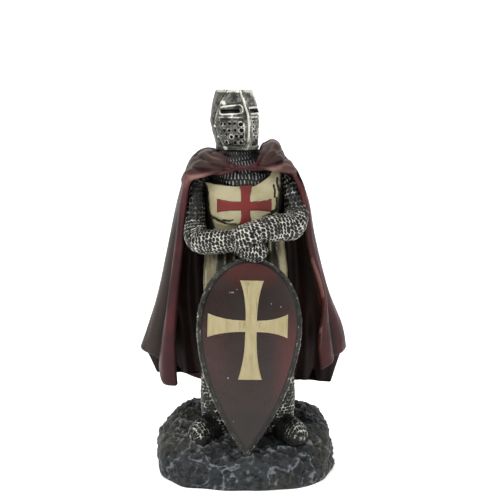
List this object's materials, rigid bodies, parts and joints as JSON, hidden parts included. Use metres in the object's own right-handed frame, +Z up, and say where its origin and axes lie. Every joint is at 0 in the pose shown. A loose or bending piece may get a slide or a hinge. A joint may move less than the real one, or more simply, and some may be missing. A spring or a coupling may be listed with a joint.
{
  "type": "medieval knight figurine",
  "caption": "Painted resin figurine of a cloaked medieval knight with a great helm and a tall kite shield, cast in one with its rough rock base.",
  "frame": {"origin": "middle of the rock base's flat underside, at the surface that the figure stands on", "axes": "+Z up through the helm, -Y out of the shield's face towards the viewer, +X to the viewer's right"},
  "size_m": [0.0836, 0.0648, 0.15],
  "materials": {
    "painted_resin": "satin"
  },
  "bodies": {
    "root": {"knight_statue": "painted_resin"}
  },
  "joints": []
}
